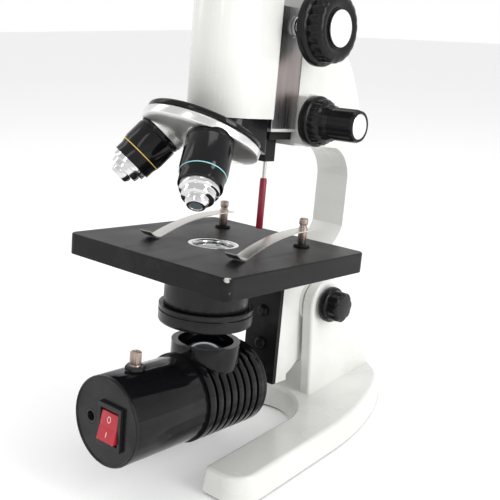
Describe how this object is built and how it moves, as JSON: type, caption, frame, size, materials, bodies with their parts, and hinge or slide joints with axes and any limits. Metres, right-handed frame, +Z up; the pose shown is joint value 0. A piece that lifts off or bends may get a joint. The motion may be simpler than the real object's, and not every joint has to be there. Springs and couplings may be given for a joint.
{
  "type": "microscope",
  "caption": "Inclinable student microscope with horseshoe base, square stage, clip springs, revolving nosepiece, coarse and fine focus knobs and a swinging cordless lamp.",
  "frame": {"origin": "on the resting face, in the mid-plane, straight under the inclination pivot", "axes": "+Z up, +Y towards the back of the arm, +X towards the right-hand knobs"},
  "size_m": [0.116, 0.2232, 0.3533],
  "materials": {
    "white_enamel": "gloss white baked enamel on a casting",
    "black_enamel": "fine textured black enamel",
    "felt": "thin black felt",
    "knob_plastic": "moulded gloss black plastic",
    "satin_steel": "turned satin steel",
    "spring_steel": "polished spring steel",
    "post_steel": "brownish turned steel",
    "chrome": "bright chrome",
    "turret_silver": "satin chrome dome with a bright rim",
    "black_gloss": "gloss black anodised metal",
    "nickel": "brushed nickel plate",
    "cap_silver": "silver lacquered caps",
    "clear_glass": "polished coated glass",
    "switch_red": "translucent red plastic",
    "dark_red": "dark red sleeve",
    "black_plastic": "satin black plastic",
    "board": "white lacquered board",
    "cell_wrap": "plain shrink wrap"
  },
  "bodies": {
    "base": {"base_casting": "white_enamel", "base_felt": "felt", "pivot_bolt": "satin_steel", "pivot_washers": "satin_steel"},
    "incline_right": {"incline_knob_right": "knob_plastic"},
    "incline_left": {"incline_knob_left": "knob_plastic"},
    "limb": {"arm_casting": "white_enamel", "stage_bracket": "black_enamel", "bracket_screws": "black_enamel", "stage_plate": "black_enamel", "stage_ring": "chrome", "condenser_holder": "black_gloss", "condenser_lens": "clear_glass", "clip_feet": "black_enamel"},
    "clip_left": {"clip_post_left": "post_steel", "clip_spring_left": "spring_steel"},
    "clip_right": {"clip_post_right": "post_steel", "clip_spring_right": "spring_steel"},
    "iris": {"iris_disc": "black_gloss", "iris_lever": "post_steel"},
    "lamp": {"lamp_tube": "black_gloss", "lamp_end_plate": "black_gloss", "lamp_heat_sink": "black_gloss", "lamp_rear_cap": "black_gloss", "lamp_pin": "satin_steel", "lamp_cup": "black_gloss", "led_board": "board", "led_lens": "clear_glass", "battery_cell": "cell_wrap", "switch_bezel": "black_plastic", "dc_jack": "black_plastic", "dimmer_pot": "black_plastic", "dimmer_nut": "black_plastic"},
    "rocker": {"switch_rocker": "switch_red"},
    "dimmer": {"dimmer_shaft": "post_steel"},
    "fine_knobs": {"fine_shaft": "satin_steel", "fine_knob_right": "knob_plastic", "fine_knob_left": "knob_plastic", "fine_knob_caps": "cap_silver"},
    "fine_block": {"focus_guide": "nickel", "guide_foot": "black_enamel", "coarse_collars": "chrome", "stop_rod": "satin_steel", "stop_sleeve": "dark_red"},
    "coarse_knobs": {"coarse_pinion": "satin_steel", "coarse_knob_right": "knob_plastic", "coarse_knob_left": "knob_plastic", "coarse_knob_caps": "cap_silver"},
    "carriage": {"focus_rack": "satin_steel", "body_casting": "white_enamel", "nose_disc": "black_gloss", "draw_tube": "chrome", "turret_screw": "satin_steel"},
    "turret": {"turret": "turret_silver", "objective_high_barrel": "black_gloss", "objective_low_barrel": "black_gloss", "objective_high_nose": "chrome", "objective_low_nose": "chrome", "objective_lenses": "clear_glass"},
    "eyepiece": {"eyepiece": "black_gloss"}
  },
  "joints": [
    {"name": "inclination", "type": "hinge", "parent": "base", "child": "limb", "pos_m": [0, 0, 0.0712], "axis": [-1, 0, 0], "range_deg": [-6, 84]},
    {"name": "incline_knob_right_turn", "type": "hinge", "parent": "base", "child": "incline_right", "pos_m": [0.029, 0, 0.0712], "axis": [1, 0, 0], "range_deg": [-90, 180]},
    {"name": "incline_knob_left_turn", "type": "hinge", "parent": "base", "child": "incline_left", "pos_m": [-0.029, 0, 0.0712], "axis": [1, 0, 0], "range_deg": [-180, 90]},
    {"name": "clip_left_swing", "type": "hinge", "parent": "limb", "child": "clip_left", "pos_m": [-0.0295, -0.0379, 0.12194], "axis": [0, 0.1045, 0.9945], "range_deg": [-30, 0]},
    {"name": "clip_right_swing", "type": "hinge", "parent": "limb", "child": "clip_right", "pos_m": [0.0295, -0.0379, 0.12194], "axis": [0, 0.1045, 0.9945], "range_deg": [0, 30]},
    {"name": "iris_lever_swing", "type": "hinge", "parent": "limb", "child": "iris", "pos_m": [0, -0.08417, 0.08357], "axis": [0, 0.1045, 0.9945], "range_deg": [-30, 30]},
    {"name": "lamp_swing", "type": "hinge", "parent": "limb", "child": "lamp", "pos_m": [0, -0.03726, 0.03238], "axis": [0, 0.9945, -0.1045], "range_deg": [-25, 25]},
    {"name": "switch_press", "type": "hinge", "parent": "lamp", "child": "rocker", "pos_m": [0.0045, -0.15567, 0.04422], "axis": [1, 0, 0], "range_deg": [0, 22]},
    {"name": "dimmer_turn", "type": "hinge", "parent": "lamp", "child": "dimmer", "pos_m": [0, -0.13558, 0.07087], "axis": [0, 0.1045, 0.9945], "range_deg": [-150, 150]},
    {"name": "fine_focus", "type": "hinge", "parent": "limb", "child": "fine_knobs", "pos_m": [0, -0.02133, 0.18395], "axis": [-1, 0, 0], "range_deg": [-360, 360]},
    {"name": "fine_travel", "type": "slide", "parent": "limb", "child": "fine_block", "axis": [0, 0.1045, 0.9945], "range_m": [-0.00079, 0.00079]},
    {"name": "coarse_focus", "type": "hinge", "parent": "fine_block", "child": "coarse_knobs", "pos_m": [0, -0.02965, 0.23399], "axis": [-1, 0, 0], "range_deg": [-34.6, 358.2]},
    {"name": "coarse_travel", "type": "slide", "parent": "fine_block", "child": "carriage", "axis": [0, 0.1045, 0.9945], "range_m": [-0.0024, 0.025]},
    {"name": "nosepiece_turn", "type": "hinge", "parent": "carriage", "child": "turret", "pos_m": [0, -0.08908, 0.1784], "axis": [0, 0.509, 0.8607], "continuous": true},
    {"name": "eyepiece_lift", "type": "slide", "parent": "carriage", "child": "eyepiece", "axis": [0, 0.1045, 0.9945], "range_m": [0, 0.025]}
  ],
  "couplings": [
    {"joint": "fine_focus", "follows": "fine_travel", "rad_per_m": 7854},
    {"joint": "coarse_focus", "follows": "coarse_travel", "rad_per_m": 250}
  ]
}
